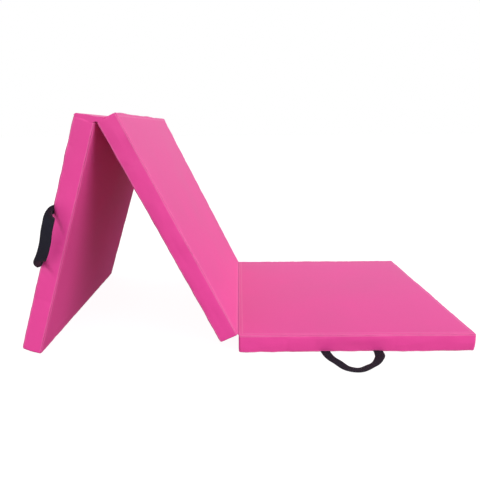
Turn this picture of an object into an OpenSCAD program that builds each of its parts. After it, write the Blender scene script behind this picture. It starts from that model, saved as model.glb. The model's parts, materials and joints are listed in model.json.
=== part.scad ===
// Tri-fold exercise mat: three foam panels in sewn and zipped covers, joined by two fabric
// hinges, with a webbing carry handle on each outer panel. Millimetres, +Z up. The long way
// of the mat runs along X, the handles are on the -Y side and the zips on the +Y side.
// The origin is the centre of the base panel's underside. Each part is drawn lying flat in
// its own panel's frame, and the panels are then stood up as a flat base and an arch.

/* [Panels] */
// Length of one panel, along the mat
panel_l = 608; // [560:1:640]
// Width of the mat, front to back
panel_w = 610; // [560:1:640]
// Thickness of a panel
panel_t = 50; // [45:1:60]
// Radius of a panel's upright corners
corner_r = 6; // [4:1:9]

/* [Cover] */
// Thickness of the coated cloth
skin = 1; // [0.8:0.1:1.2]
// Height of the turned-in seam between a face sheet and a border
seam = 1; // [0.9:0.1:1.2]
// Space between the foam block and the back border, which the zip needs
zip_room = 4.5; // [4:0.5:8]

/* [Folds] */
// Gap between the end faces of two panels laid flat
fold_gap = 2; // [1.6:0.2:4]
// Distance from a panel's face to the fold line beside it
fold_rise = 0.6; // [0.5:0.1:1]
// Angle between the floor and the middle panel
lean = 64; // [58:1:68]
// Width of a hinge strip's margin, sewn in under each face sheet
hinge_margin = 12; // [8:1:20]

/* [Handles] */
// Width of the webbing
web_w = 25; // [20:1:30]
// Thickness of the webbing
web_t = 1.4; // [1.2:0.1:1.6]
// Distance between the middles of a handle's two ends
handle_span = 136; // [120:2:150]
// Middle of the base handle along its seam, from the middle of the panel
base_handle_x = -12; // [-40:1:40]
// Middle of the end handle along its seam, from the middle of the panel
end_handle_x = 12; // [-40:1:40]
// Length of webbing sewn in behind the seam
tab_l = 22; // [15:1:30]

/* [Zips] */
// Length of a zip's tape
zip_l = 560; // [450:10:560]
// Width of one half of the tape
tape_w = 12.4; // [10:0.2:14]
// Thickness of the tape
tape_t = 0.8; // [0.6:0.1:0.9]
// Height of the opening between the two back borders
zip_open = 14; // [12:1:18]
// Length of a pull tab
pull_l = 18; // [14:1:24]

/* [Hidden] */
PINK = "#e8559d";
DARK_PINK = "#c63f85";
NAVY = "#28263a";
FOAM = "#e9e7df";
NICKEL = "#b9bcc2";

// The fold lines of the mat laid flat, and the distance between them
pitch = panel_l + fold_gap;
lower_fold = [-pitch / 2, 0, panel_t + fold_rise];
upper_fold = [-pitch * 3 / 2, 0, -fold_rise];

// How far the end panel leans, so that its foot comes down to the floor
drop = panel_t + 2 * fold_rise;
upper_fold_z = lower_fold.z + pitch * sin(lean) - drop * cos(lean);
foot_reach = panel_l + fold_gap / 2;
end_lean = atan2(fold_rise, foot_reach) + asin(upper_fold_z / norm([foot_reach, fold_rise]));

// Cover and foam
face_gap = skin + seam;
border_h = panel_t - 2 * face_gap;
back_border_l = panel_l - 2 * (corner_r + 2.3);
back_border_h = (panel_t - zip_open) / 2 - face_gap;

// Handles
handle_z = face_gap - skin + 0.1 + web_t / 2;

// Zips: a slot down the middle lets the slider's post pass
zip_slot = 1.2;
coil_w = 2.3;
coil_t = 2;
stop_l = 4;
coil_l = zip_l - 2 * (stop_l + 2);
slider_l = 12;
slider_w = 9.2;
slider_x = -coil_l / 2 + 12;
pull_t = 1.2;
pull_y = 3.4;

// ---- where each panel stands ----

module turned_at(fold, angle) {
  translate(fold) rotate([0, angle, 0]) translate(-fold) children();
}
module on_base() {
  children();
}
module on_middle() {
  turned_at(lower_fold, lean) translate([-pitch, 0, 0]) children();
}
module on_end() {
  turned_at(lower_fold, lean) turned_at(upper_fold, -lean - end_lean)
    translate([-2 * pitch, 0, 0]) children();
}

// ---- the covers and the foam ----

// A rectangle with round corners, centred
module rounded(l, w, r) {
  square([l, w - 2 * r], center = true);
  square([l - 2 * r, w], center = true);
  for (x = [-1, 1], y = [-1, 1])
    translate([x * (l / 2 - r), y * (w / 2 - r)]) circle(r = r, $fn = 48);
}

// The foam block, cut back where a handle's sewn-in webbing lies at the given height
module foam_core(webbing_z = undef, webbing_x = 0) {
  inset = skin + 0.5;
  color(FOAM)
    difference() {
      translate([0, (inset - zip_room) / 2, face_gap])
        linear_extrude(border_h)
          rounded(panel_l - 2 * inset, panel_w - inset - zip_room, corner_r - inset);
      if (webbing_z != undef)
        for (x = [-1, 1])
          translate([webbing_x + x * handle_span / 2, -panel_w / 2, webbing_z])
            cube([web_w + 1, 2 * (tab_l + 3 * skin), web_t + 0.4], center = true);
    }
}

module face_sheet(z) {
  color(PINK) translate([0, 0, z]) linear_extrude(skin) rounded(panel_l, panel_w, corner_r);
}
module bottom_sheet() face_sheet(0);
module top_sheet() face_sheet(panel_t - skin);

// The border runs round the front and both ends, and turns in at the back corners
module side_border(notch_z = undef, notch_x = 0) {
  color(PINK)
    difference() {
      translate([0, 0, face_gap])
        linear_extrude(border_h)
          difference() {
            rounded(panel_l, panel_w, corner_r);
            rounded(panel_l - 2 * skin, panel_w - 2 * skin, corner_r - skin);
            translate([0, panel_w / 2]) square([back_border_l + 0.6, 4 * skin], center = true);
          }
      // Where the handle's webbing comes out through the seam
      if (notch_z != undef)
        for (x = [-1, 1])
          translate([notch_x + x * handle_span / 2, -panel_w / 2, notch_z])
            cube([web_w + 0.6, 4 * skin, web_t + 0.4], center = true);
    }
}

module back_border(z) {
  color(PINK)
    translate([-back_border_l / 2, panel_w / 2 - skin, z])
      cube([back_border_l, skin, back_border_h]);
}
module back_border_lower() back_border(face_gap);
module back_border_upper() back_border(panel_t - face_gap - back_border_h);

// ---- the zip, drawn along X about the middle of the back face, outside towards +Y ----

module at_zip() {
  translate([0, panel_w / 2, panel_t / 2]) children();
}

module zip_tape(side) {
  color(DARK_PINK)
    translate([-zip_l / 2, -skin - 0.1 - tape_t, side > 0 ? zip_slot / 2 : -zip_slot / 2 - tape_w])
      cube([zip_l, tape_t, tape_w]);
}

module zip_coil() {
  color(DARK_PINK)
    for (side = [-1, 1])
      translate([-coil_l / 2, -skin - 0.1, side * (zip_slot + coil_w) / 2 - coil_w / 2])
        cube([coil_l, coil_t, coil_w]);
}

module zip_end_stops() {
  stop_w = zip_slot + 2 * coil_w;
  color(NICKEL)
    for (side = [-1, 1])
      translate([side * (coil_l + stop_l + 0.4) / 2, -skin - 0.1 + coil_t / 2, 0])
        cube([stop_l, coil_t, stop_w], center = true);
}

// Two plates joined by a post between the halves of the coil, and a bridge for the pull
module zip_slider() {
  plate_t = 1.2;
  outer_y = coil_t - skin + 0.2;
  inner_y = -skin - tape_t - 0.4 - plate_t;
  bridge_x = 3;
  color(NICKEL)
    translate([slider_x, 0, 0]) {
      translate([-slider_l / 2, outer_y, -slider_w / 2]) cube([slider_l, plate_t, slider_w]);
      translate([-slider_l / 2, inner_y, -slider_w / 2]) cube([slider_l, plate_t, slider_w]);
      translate([-2, inner_y, -zip_slot / 4]) cube([4, outer_y - inner_y + 0.1, zip_slot / 2]);
      for (side = [-1, 1])
        translate([-slider_l / 2, -skin + 0.6, side * (slider_w / 2 - 0.5) - 0.5])
          cube([slider_l, outer_y + skin - 0.5, 1]);
      for (side = [-1, 1])
        translate([side * bridge_x - 0.6, outer_y + plate_t - 0.1, -1]) cube([1.2, 3.2, 2]);
      translate([-bridge_x - 0.6, outer_y + plate_t + 2.1, -1]) cube([2 * bridge_x + 1.2, 1, 2]);
    }
}

// A bar under the bridge, two arms and a tab, hanging towards -X
module zip_pull() {
  arm_l = 8;
  color(NICKEL)
    translate([slider_x, pull_y, 0]) {
      cylinder(r = 0.55, h = 5.2, center = true, $fn = 32);
      for (side = [-1, 1])
        translate([-arm_l, -pull_t / 2, side * 2.1 - 0.5]) cube([arm_l, pull_t, 1]);
      difference() {
        translate([-arm_l - pull_l, -pull_t / 2, -3.2]) cube([pull_l, pull_t, 6.4]);
        translate([-arm_l - pull_l + 3.2, 0, 0])
          rotate([90, 0, 0]) cylinder(r = 1.5, h = 3 * pull_t, center = true, $fn = 32);
      }
    }
}

// ---- the fabric hinges ----

// A point of a hinge strip's section, turned about the fold line with the panel beside it
function turned(p, angle) = [p.x * cos(angle) + p.y * sin(angle),
  p.y * cos(angle) - p.x * sin(angle)];

// The section of a hinge strip, drawn about its fold line at [0, 0], for faces fold_rise below
// it: a margin in under each face sheet, and a rise out of the gap between the panels. The
// panel on the -X side is turned by the given angle.
module hinge_section(angle) {
  sheet_under = -fold_rise - skin - 0.1;
  sheet_low = sheet_under - seam + 0.2;
  edge = fold_gap / 2 - 0.2;
  middle = [sin(angle / 2), cos(angle / 2)];
  polygon([
    [hinge_margin, sheet_under], [hinge_margin, sheet_low], [0, sheet_low],
    -0.45 * middle,
    turned([0, sheet_low], angle), turned([-hinge_margin, sheet_low], angle),
    turned([-hinge_margin, sheet_under], angle), turned([-edge, sheet_under], angle),
    0.35 * middle,
    [edge, sheet_under]
  ]);
}

module hinge_strip(angle) {
  rotate([90, 0, 0])
    linear_extrude(panel_w - 4 * corner_r, center = true) hinge_section(angle);
}
module lower_hinge_strip() {
  color(DARK_PINK) translate(lower_fold) hinge_strip(lean);
}
module upper_hinge_strip() {
  color(DARK_PINK)
    turned_at(lower_fold, lean) translate(upper_fold) mirror([0, 0, 1]) hinge_strip(lean + end_lean);
}

// ---- the webbing handles ----

// A smooth path through the points p, with n steps from each to the next
function between(a, b, c, d, u) =
  0.5 * (2 * b + (c - a) * u + (2 * a - 5 * b + 4 * c - d) * u * u
    + (3 * b - a - 3 * c + d) * u * u * u);
function path_through(p, n) = [
  for (i = [0 : len(p) - 2], k = [0 : n - 1])
    between(p[max(i - 1, 0)], p[i], p[i + 1], p[min(i + 2, len(p) - 1)], k / n),
  p[len(p) - 1]
];
function unit(v) = v / norm(v);
function xyz(q) = [q[0], q[1], q[2]];
// The webbing leaves its seam straight out
function heading(p, i) = i == 0 ? [0, -1, 0] : i == len(p) - 1 ? [0, 1, 0]
  : unit(xyz(p[i + 1]) - xyz(p[i - 1]));

// The four corners of the webbing at point i. The point's fourth number is the angle by
// which the webbing's outer edge is turned up out of the plane of its seam.
function web_corners(p, i) =
  let (t = heading(p, i), side = unit(cross(t, [0, 0, 1])), up = cross(side, t),
    across = side * cos(p[i][3]) + up * sin(p[i][3]), face = cross(t, across))
  [for (k = [[1, 1], [-1, 1], [-1, -1], [1, -1]])
    xyz(p[i]) + across * k[0] * web_w / 2 + face * k[1] * web_t / 2];

module webbing(p) {
  n = len(p);
  polyhedron(
    points = [for (i = [0 : n - 1]) each web_corners(p, i)],
    faces = [
      [0, 1, 2, 3],
      for (i = [0 : n - 2], k = [0 : 3]) let (a = 4 * i + k, b = 4 * i + (k + 1) % 4)
        each [[a, a + 4, b], [b, a + 4, b + 4]],
      [4 * n - 1, 4 * n - 2, 4 * n - 3, 4 * n - 4]
    ]);
}

// The base handle lies on the floor, pulled a little to one side. Each point is measured
// from the middle of the seam: along it, out from it, up, and the turn of the webbing.
BASE_ROUTE = [
  [-68, -1.4, 1.8, 0], [-63, -21, 1, 0], [-45, -54, 0.9, 0], [-27, -78, 1.2, 2],
  [-7, -85, 2.4, 6], [20, -76, 4, 13], [48, -53, 4.6, 18], [64, -25, 3.6, 12],
  [68, -1.4, 1.8, 0]
];
// The end handle stands out from its seam and droops, its grip turned flat to the front
END_ROUTE = [
  [-68, -1.4, -1.8, 0], [-67, -9, -2.6, 8], [-62, -19, -4.6, 30], [-53, -34, -9, 62],
  [-40, -45, -15, 80], [-17, -50, -19, 80], [9, -51, -19, 80], [35, -49, -16, 80],
  [54, -44, -14, 80], [62, -33, -10, 62], [66, -19, -5.4, 30], [67.6, -9, -2.6, 8],
  [68, -1.4, -1.8, 0]
];

module base_handle_strap() {
  color(NAVY) translate([base_handle_x, -panel_w / 2, 0]) webbing(path_through(BASE_ROUTE, 4));
}
module end_handle_strap() {
  color(NAVY)
    on_end() translate([end_handle_x, -panel_w / 2, panel_t]) webbing(path_through(END_ROUTE, 4));
}

module handle_sewn_ends(z, middle_x) {
  color(NAVY)
    for (x = [-1, 1])
      translate([middle_x + x * handle_span / 2, -panel_w / 2 + skin + tab_l / 2, z])
        cube([web_w, tab_l + 2 * (skin - 0.6), web_t], center = true);
}

// ---- the parts of each panel ----

module base_foam_core() foam_core(handle_z, base_handle_x);
module base_top_sheet() top_sheet();
module base_bottom_sheet() bottom_sheet();
module base_side_border() side_border(handle_z, base_handle_x);
module base_back_border_upper() back_border_upper();
module base_back_border_lower() back_border_lower();
module base_zip_tape_upper() at_zip() zip_tape(1);
module base_zip_tape_lower() at_zip() zip_tape(-1);
module base_zip_coil() at_zip() zip_coil();
module base_zip_end_stops() at_zip() zip_end_stops();
module base_zip_slider() at_zip() zip_slider();
module base_zip_pull() at_zip() zip_pull();
module base_handle_sewn_ends() handle_sewn_ends(handle_z, base_handle_x);

module middle_foam_core() on_middle() foam_core();
module middle_top_sheet() on_middle() top_sheet();
module middle_bottom_sheet() on_middle() bottom_sheet();
module middle_side_border() on_middle() side_border();
module middle_back_border_upper() on_middle() back_border_upper();
module middle_back_border_lower() on_middle() back_border_lower();
module middle_zip_tape_upper() on_middle() at_zip() zip_tape(1);
module middle_zip_tape_lower() on_middle() at_zip() zip_tape(-1);
module middle_zip_coil() on_middle() at_zip() zip_coil();
module middle_zip_end_stops() on_middle() at_zip() zip_end_stops();
module middle_zip_slider() on_middle() at_zip() rotate([0, 180, 0]) zip_slider();
module middle_zip_pull() on_middle() at_zip() rotate([0, 180, 0]) zip_pull();

module end_foam_core() on_end() foam_core(panel_t - handle_z, end_handle_x);
module end_top_sheet() on_end() top_sheet();
module end_bottom_sheet() on_end() bottom_sheet();
module end_side_border() on_end() side_border(panel_t - handle_z, end_handle_x);
module end_back_border_upper() on_end() back_border_upper();
module end_back_border_lower() on_end() back_border_lower();
module end_zip_tape_upper() on_end() at_zip() zip_tape(1);
module end_zip_tape_lower() on_end() at_zip() zip_tape(-1);
module end_zip_coil() on_end() at_zip() zip_coil();
module end_zip_end_stops() on_end() at_zip() zip_end_stops();
module end_zip_slider() on_end() at_zip() zip_slider();
module end_zip_pull() on_end() at_zip() zip_pull();
module end_handle_sewn_ends() on_end() handle_sewn_ends(panel_t - handle_z, end_handle_x);

base_foam_core();
base_top_sheet();
base_bottom_sheet();
base_side_border();
base_back_border_upper();
base_back_border_lower();
base_zip_tape_upper();
base_zip_tape_lower();
base_zip_coil();
base_zip_end_stops();
base_zip_slider();
base_zip_pull();
middle_foam_core();
middle_top_sheet();
middle_bottom_sheet();
middle_side_border();
middle_back_border_upper();
middle_back_border_lower();
middle_zip_tape_upper();
middle_zip_tape_lower();
middle_zip_coil();
middle_zip_end_stops();
middle_zip_slider();
middle_zip_pull();
end_foam_core();
end_top_sheet();
end_bottom_sheet();
end_side_border();
end_back_border_upper();
end_back_border_lower();
end_zip_tape_upper();
end_zip_tape_lower();
end_zip_coil();
end_zip_end_stops();
end_zip_slider();
end_zip_pull();
lower_hinge_strip();
upper_hinge_strip();
base_handle_strap();
base_handle_sewn_ends();
end_handle_strap();
end_handle_sewn_ends();
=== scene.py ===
"""Folding gym mat: three padded panels in coated cloth, two cloth hinges, two webbing handles
and three zips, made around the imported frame. Sizes are in metres unless a name says mm."""

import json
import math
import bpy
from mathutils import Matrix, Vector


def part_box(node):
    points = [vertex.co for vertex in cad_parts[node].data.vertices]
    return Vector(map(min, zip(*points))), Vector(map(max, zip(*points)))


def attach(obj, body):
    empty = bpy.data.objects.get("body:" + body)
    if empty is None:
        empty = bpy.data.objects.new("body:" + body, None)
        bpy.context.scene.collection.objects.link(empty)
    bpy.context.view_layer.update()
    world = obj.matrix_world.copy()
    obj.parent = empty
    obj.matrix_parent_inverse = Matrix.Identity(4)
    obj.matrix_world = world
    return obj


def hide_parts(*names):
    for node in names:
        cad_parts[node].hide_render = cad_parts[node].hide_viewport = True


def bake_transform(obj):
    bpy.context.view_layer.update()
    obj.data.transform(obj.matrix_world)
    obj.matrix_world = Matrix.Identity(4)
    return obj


bl_info = {
    "name": "Folding Gym Mat",
    "version": (1, 0, 0),
    "blender": (4, 5, 0),
    "location": "3D Viewport > Sidebar > Gym Mat",
    "description": "Builds a tri-fold gym mat with sewn covers, hinges, handles and zips",
    "category": "Add Mesh",
}

import bmesh
import bpy
import numpy as np
from bpy.props import (
    FloatProperty,
    FloatVectorProperty,
    IntProperty,
    PointerProperty,
)
from mathutils import Matrix, Vector
from mathutils.bvhtree import BVHTree

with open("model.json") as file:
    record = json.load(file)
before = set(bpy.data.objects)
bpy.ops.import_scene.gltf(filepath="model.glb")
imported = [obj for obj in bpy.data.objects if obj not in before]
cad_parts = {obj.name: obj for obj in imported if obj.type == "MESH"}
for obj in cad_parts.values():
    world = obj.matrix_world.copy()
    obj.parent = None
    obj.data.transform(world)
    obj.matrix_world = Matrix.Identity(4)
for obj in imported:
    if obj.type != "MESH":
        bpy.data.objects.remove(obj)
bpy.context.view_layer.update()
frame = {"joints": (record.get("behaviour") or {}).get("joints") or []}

MM = 0.001
JOINTS = {j["name"]: j for j in frame["joints"]}
PANELS = ("base", "middle", "end")

# ---- the panel's size and where each panel stands, from the frame ----

PANEL_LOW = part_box("base_bottom_sheet")[0]
PANEL_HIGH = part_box("base_top_sheet")[1]
HALF_L = PANEL_HIGH.x
HALF_W = PANEL_HIGH.y
THICK = PANEL_HIGH.z - PANEL_LOW.z
HALF_T = THICK / 2

LOWER_FOLD = Vector(JOINTS["lower_fold"]["pos_m"])
UPPER_FOLD = Vector(JOINTS["upper_fold"]["pos_m"])
LEAN = -math.radians(JOINTS["lower_fold"]["range_deg"][0])
UPPER_TURN = math.radians(JOINTS["upper_fold"]["range_deg"][1])
# Directions of the two end faces above the upper fold line, seen along Y
UP_MIDDLE = math.pi / 2 - LEAN
UP_END = UP_MIDDLE + UPPER_TURN


def turned_about(point, angle):
    """A turn about the Y axis through a point."""
    return (
        Matrix.Translation(point)
        @ Matrix.Rotation(angle, 4, "Y")
        @ Matrix.Translation(-point)
    )


UPPER_FLAT = turned_about(LOWER_FOLD, -LEAN) @ UPPER_FOLD
PITCH = LOWER_FOLD.x - UPPER_FLAT.x
STAND_MIDDLE = turned_about(LOWER_FOLD, LEAN)
PLACE = {
    "base": Matrix.Identity(4),
    "middle": STAND_MIDDLE @ Matrix.Translation((-PITCH, 0, 0)),
    "end": STAND_MIDDLE
    @ turned_about(UPPER_FLAT, -UPPER_TURN)
    @ Matrix.Translation((-2 * PITCH, 0, 0)),
}


# ---- settings ----


class MatCoverSettings(bpy.types.PropertyGroup):
    """Sizes of the sewn covers."""

    grid: FloatProperty(
        name="Grid step",
        description="Distance between the cover mesh's rows",
        default=0.0045,
        min=0.003,
        unit="LENGTH",
    )
    corner: FloatProperty(
        name="Corner radius",
        description="Radius of a cover's upright corners",
        default=0.0055,
        unit="LENGTH",
    )
    roll: FloatProperty(
        name="Edge roll",
        description="How far a face drops to its seam",
        default=0.0015,
        unit="LENGTH",
    )
    seam_ridge: FloatProperty(
        name="Seam ridge",
        description="Height of the turned-in cloth beside a seam",
        default=0.0008,
        unit="LENGTH",
    )
    pucker: FloatProperty(
        name="Pucker",
        description="Height of the small gathers along a seam",
        default=0.0002,
        unit="LENGTH",
    )
    pressure: FloatProperty(
        name="Foam pressure",
        description="Push of the foam on the cloth while it settles",
        default=4.0,
        min=0,
    )
    crown: FloatProperty(
        name="Crown",
        description="How far the foam may push a face out",
        default=0.00035,
        unit="LENGTH",
    )


class MatHandleSettings(bpy.types.PropertyGroup):
    """Sizes of the webbing."""

    width: FloatProperty(
        name="Webbing width",
        description="Width of the handles' webbing",
        default=0.025,
        unit="LENGTH",
    )
    thickness: FloatProperty(
        name="Webbing thickness",
        description="Thickness of the handles' webbing",
        default=0.0014,
        unit="LENGTH",
    )


class MatZipSettings(bpy.types.PropertyGroup):
    """Sizes of the zips."""

    tooth_pitch: FloatProperty(
        name="Tooth pitch",
        description="Distance between two turns of a zip's coil",
        default=0.0016,
        unit="LENGTH",
    )
    stitch: FloatProperty(
        name="Stitch pitch",
        description="Distance between two stitches",
        default=0.0042,
        unit="LENGTH",
    )
    thread: FloatProperty(
        name="Thread radius",
        description="Radius of the stitches' thread",
        default=0.0004,
        unit="LENGTH",
    )
    wire: FloatProperty(
        name="Coil wire radius",
        description="Radius of the zip coil's own wire",
        default=0.00032,
        unit="LENGTH",
    )
    seed: IntProperty(
        name="Seed",
        description="Seed of the stitches' small unevenness",
        default=7,
    )


class MatColourSettings(bpy.types.PropertyGroup):
    """Colours of the finishes."""

    cloth: FloatVectorProperty(
        name="Coated cloth",
        description="Colour of the coated cloth",
        subtype="COLOR",
        size=3,
        min=0,
        max=1,
        default=(0.82, 0.058, 0.332),
    )
    webbing: FloatVectorProperty(
        name="Webbing",
        description="Colour of the handles' webbing",
        subtype="COLOR",
        size=3,
        min=0,
        max=1,
        default=(0.0085, 0.0085, 0.017),
    )
    metal: FloatVectorProperty(
        name="Zip metal",
        description="Colour of the zips' metal",
        subtype="COLOR",
        size=3,
        min=0,
        max=1,
        default=(0.62, 0.63, 0.66),
    )


# ---- meshes ----


def smooth_step(t):
    """0 below 0, 1 above 1 and a smooth rise between."""
    t = np.clip(t, 0, 1)
    return t * t * (3 - 2 * t)


def bump(x, middle, width):
    """A round bump of height 1."""
    return np.exp(-(((x - middle) / width) ** 2))


def ripple(u, v, length, seed, count=10):
    """Smooth uneven waves of about one height, from a seeded sum of sines."""
    rng = np.random.default_rng(seed)
    total = np.zeros_like(u)
    for _ in range(count):
        angle = rng.uniform(0, math.pi)
        scale = 2 * math.pi / (length * rng.uniform(0.7, 1.5))
        phase = rng.uniform(0, 2 * math.pi)
        total += np.sin((u * math.cos(angle) + v * math.sin(angle)) * scale + phase)
    return total / math.sqrt(count)


def in_scene(name, data):
    """A new object in the scene."""
    obj = bpy.data.objects.new(name, data)
    bpy.context.scene.collection.objects.link(obj)
    return obj


def new_object(name, points, faces, material):
    """A smooth mesh object in the row frame, from points and faces."""
    mesh = bpy.data.meshes.new(name)
    mesh.from_pydata([tuple(p) for p in points], [], [tuple(f) for f in faces])
    mesh.validate()
    mesh.materials.append(material)
    mesh.polygons.foreach_set("use_smooth", [True] * len(mesh.polygons))
    return in_scene(name, mesh)


def put(obj, matrix):
    """Moves an object's mesh, and leaves the object at the origin."""
    obj.data.transform(matrix)
    obj.data.update()
    return obj


def point_values(obj, name, values):
    """A number at each point, for the materials."""
    attribute = obj.data.attributes.new(name, "FLOAT", "POINT")
    attribute.data.foreach_set("value", np.asarray(values, np.float32))


def grid_faces(index, flip):
    """Quads over a grid of point numbers."""
    a, b = index[:-1, :-1], index[1:, :-1]
    c, d = index[1:, 1:], index[:-1, 1:]
    quads = np.stack([a, b, c, d], -1).reshape(-1, 4)
    return quads[:, ::-1] if flip else quads


# ---- node trees ----


class Tree:
    """A node tree, built one node at a time. Each call gives one of its node's outputs."""

    def __init__(self, tree):
        self.tree = tree

    def node(self, kind, inputs=(), output=0, **settings):
        """A new node, with its inputs linked or set."""
        made = self.tree.nodes.new(kind)
        for key, value in settings.items():
            setattr(made, key, value)
        for key, value in dict(inputs).items():
            for item in value if isinstance(value, list) else [value]:
                self.feed(made.inputs[key], item)
        return made.outputs[output]

    def feed(self, socket, value):
        """Links a socket to another, or sets its value."""
        if isinstance(value, bpy.types.NodeSocket):
            self.tree.links.new(value, socket)
        else:
            socket.default_value = value

    def math(self, operation, a, b=0.0, clamp=False):
        """A sum of two values."""
        return self.node(
            "ShaderNodeMath", {0: a, 1: b}, operation=operation, use_clamp=clamp
        )

    def remap(self, value, low, high, to_low, to_high):
        """A value moved from one range to another."""
        inputs = {"Value": value, "From Min": low, "From Max": high}
        inputs.update({"To Min": to_low, "To Max": to_high})
        return self.node("ShaderNodeMapRange", inputs, "Result")

    def mix(self, share, a, b):
        """A mix of two colours."""
        inputs = {"Factor": share, "A": a, "B": b}
        return self.node("ShaderNodeMix", inputs, "Result", data_type="RGBA")


class Shader(Tree):
    """A material's node tree."""

    def __init__(self, name):
        self.material = bpy.data.materials.new(name)
        self.material.use_nodes = True
        super().__init__(self.material.node_tree)

    def stretched(self, vector, stretch):
        """Coordinates, stretched."""
        return self.node("ShaderNodeMapping", {"Vector": vector, "Scale": stretch})

    def place(self, stretch=(1, 1, 1)):
        """Object coordinates."""
        return self.stretched(self.node("ShaderNodeTexCoord", output="Object"), stretch)

    def uv(self):
        """The piece's own flat coordinates."""
        return self.node("ShaderNodeUVMap", output="UV", uv_map="flat")

    def noise(self, vector, scale, detail):
        """Cloudy noise."""
        inputs = {"Vector": vector, "Scale": scale, "Detail": detail, "Roughness": 0.5}
        return self.node("ShaderNodeTexNoise", inputs, "Fac")

    def ribs(self, scale, distortion, direction):
        """Ribs across the flat coordinates."""
        inputs = {"Vector": self.uv(), "Scale": scale, "Distortion": distortion, "Detail": 1.0}
        return self.node("ShaderNodeTexWave", inputs, "Fac", bands_direction=direction)

    def attribute(self, name):
        """A number kept at the piece's points."""
        return self.node("ShaderNodeAttribute", output="Fac", attribute_name=name)

    def relief(self, height, distance, strength, **under):
        """A bumpy surface, over another one if Normal is given."""
        inputs = {"Height": height, "Distance": distance, "Strength": strength, **under}
        return self.node("ShaderNodeBump", inputs)

    def finish(self, **inputs):
        """The material, with its surface's inputs fed; _ stands for a space."""
        surface = self.tree.nodes["Principled BSDF"]
        for key, value in inputs.items():
            self.feed(surface.inputs[key.replace("_", " ")], value)
        return self.material


class Repeat(Tree):
    """A Geometry Nodes tree for parts that repeat, with named inputs."""

    def __init__(self, name, **sockets):
        super().__init__(bpy.data.node_groups.new(name, "GeometryNodeTree"))
        face = self.tree.interface
        sockets = {"Geometry": "Geometry", **sockets, "Material": "Material"}
        for label, kind in sockets.items():
            face.new_socket(label, in_out="INPUT", socket_type="NodeSocket" + kind)
        face.new_socket("Geometry", in_out="OUTPUT", socket_type="NodeSocketGeometry")
        self.source = self.tree.nodes.new("NodeGroupInput").outputs
        self.sink = self.tree.nodes.new("NodeGroupOutput")

    def end(self, geometry):
        """Makes the copies real, gives them the material and ends the tree."""
        real = self.node("GeometryNodeRealizeInstances", {"Geometry": geometry})
        painted = self.node(
            "GeometryNodeSetMaterial",
            {"Geometry": real, "Material": self.source["Material"]},
        )
        smooth = self.node("GeometryNodeSetShadeSmooth", {"Geometry": painted})
        self.tree.links.new(smooth, self.sink.inputs[0])

    def run(self, obj, values):
        """Puts the tree's result in the object's own mesh."""
        modifier = obj.modifiers.new("repeat", "NODES")
        modifier.node_group = self.tree
        for item in self.tree.interface.items_tree:
            if item.in_out == "INPUT" and item.name in values:
                modifier[item.identifier] = values[item.name]
        seen = obj.evaluated_get(bpy.context.evaluated_depsgraph_get())
        made = bpy.data.meshes.new_from_object(seen)
        obj.modifiers.clear()
        obj.data = made


# ---- materials ----


def shade(colour, factor):
    """A colour made darker or lighter, with its alpha."""
    return (*(min(1.0, c * factor) for c in colour), 1.0)


def coated_cloth(colour):
    """Satin coated cloth: fine grain, faint weave, painted shade in the seams' grooves and a
    painted highlight on the ridges beside them.
    """
    s = Shader("coated_cloth")
    here = s.place()
    seam = s.attribute("seam_groove")
    painted_highlight = s.attribute("seam_ridge")
    cloud = s.noise(here, 5.0, 3)
    grain = s.noise(here, 1400.0, 2)
    fibre = s.noise(s.place((260, 900, 260)), 1.0, 2)
    tone = s.remap(cloud, 0.3, 0.7, 0.0, 1.0)
    body = s.mix(tone, shade(colour, 0.965), shade(colour, 1.03))
    body = s.mix(s.remap(fibre, 0.3, 0.7, 0.0, 0.05), body, shade(colour, 0.8))
    # Painted shade: the cloth darkened in a seam's groove, and all over the lower hinge in the
    # valley
    body = s.mix(s.math("MULTIPLY", seam, 0.5, True), body, shade(colour, 0.4))
    # Painted highlight: the ridges beside a seam made paler
    pale = tuple(0.75 * c + 0.25 for c in colour)
    body = s.mix(s.math("MULTIPLY", painted_highlight, 0.34, True), body, shade(pale, 1.0))
    rough = s.remap(s.math("ADD", grain, cloud), 0.6, 1.4, 0.44, 0.58)
    normal = s.relief(grain, 0.00012, 0.5)
    normal = s.relief(s.noise(here, 90.0, 3), 0.0006, 0.35, Normal=normal)
    return s.finish(
        Base_Color=body,
        Roughness=rough,
        Normal=normal,
        Specular_IOR_Level=0.38,
        Sheen_Weight=0.12,
        Sheen_Roughness=0.4,
    )


def woven_webbing(colour):
    """Ribbed webbing: weft ribs across, warp lines along and a slightly worn face."""
    s = Shader("webbing")
    weft = s.ribs(330.0, 0.6, "X")
    warp = s.ribs(250.0, 0.4, "Y")
    weave = s.math("MULTIPLY", weft, warp)
    worn = s.noise(s.place(), 60.0, 4)
    body = s.mix(weave, shade(colour, 0.55), shade(colour, 1.5))
    body = s.mix(s.remap(worn, 0.45, 0.8, 0.0, 0.35), body, shade(colour, 2.4))
    normal = s.relief(weave, 0.0004, 0.8)
    return s.finish(
        Base_Color=body,
        Roughness=s.remap(worn, 0.3, 0.7, 0.62, 0.78),
        Normal=normal,
        Sheen_Weight=0.06,
        Sheen_Roughness=0.35,
        Specular_IOR_Level=0.16,
    )


def woven_tape(colour):
    """Zip tape: a close herringbone weave in a darker dye."""
    s = Shader("zip_tape")
    weave = s.ribs(420.0, 1.2, "DIAGONAL")
    body = s.mix(weave, shade(colour, 0.5), shade(colour, 0.72))
    return s.finish(
        Base_Color=body,
        Roughness=0.8,
        Normal=s.relief(weave, 0.0003, 0.7),
        Sheen_Weight=0.2,
    )


def nylon(colour, name, factor):
    """Smooth nylon for the coil's teeth and the thread."""
    s = Shader(name)
    speck = s.noise(s.place(), 700.0, 2)
    body = s.mix(speck, shade(colour, factor * 0.85), shade(colour, factor * 1.1))
    return s.finish(
        Base_Color=body,
        Roughness=s.remap(speck, 0.3, 0.7, 0.32, 0.5),
        Normal=s.relief(speck, 0.0001, 0.4),
    )


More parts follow.
